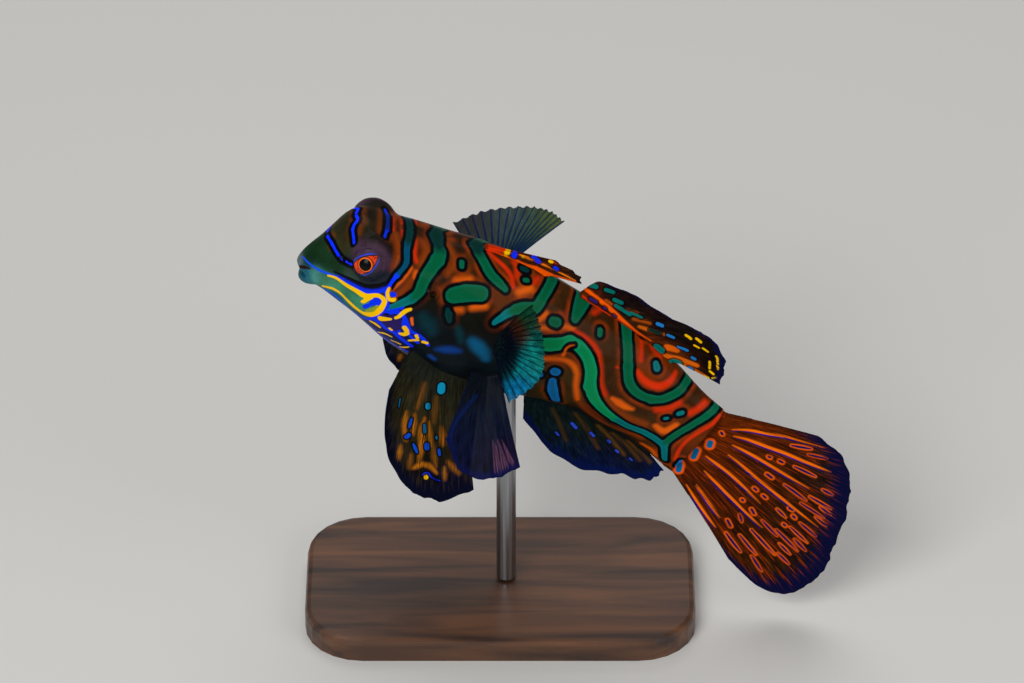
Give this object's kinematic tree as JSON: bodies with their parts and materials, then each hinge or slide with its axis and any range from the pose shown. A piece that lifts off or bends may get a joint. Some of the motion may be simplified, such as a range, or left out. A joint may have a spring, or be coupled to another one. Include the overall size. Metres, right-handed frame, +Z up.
{
  "type": "mandarinfish model",
  "caption": "Life-size still model of a small patterned reef fish with spread fins, held in a nose-up swimming pose by one rod on a flat wooden stand.",
  "frame": {"origin": "middle of the underside of the stand's base", "axes": "+Z up, the fish faces -X with its left side towards -Y, and the base's long side runs along X"},
  "size_m": [0.0557, 0.0279, 0.047],
  "materials": {
    "skin": "smooth moist skin",
    "eye": "glossy",
    "fin": "thin satin membrane",
    "stand_wood": "stained and waxed",
    "stand_steel": "brushed"
  },
  "bodies": {
    "root": {"head": "skin", "trunk": "skin", "tail_stem": "skin", "eye_left": "eye", "eye_right": "eye", "dorsal_fin_first": "fin", "dorsal_fin_second": "fin", "anal_fin": "fin", "caudal_fin": "fin", "pectoral_fin_left": "fin", "pectoral_fin_right": "fin", "pelvic_fin_left": "fin", "pelvic_fin_right": "fin", "pelvic_web_left": "fin", "pelvic_web_right": "fin", "stand_base": "stand_wood", "stand_rod": "stand_steel"}
  },
  "joints": []
}
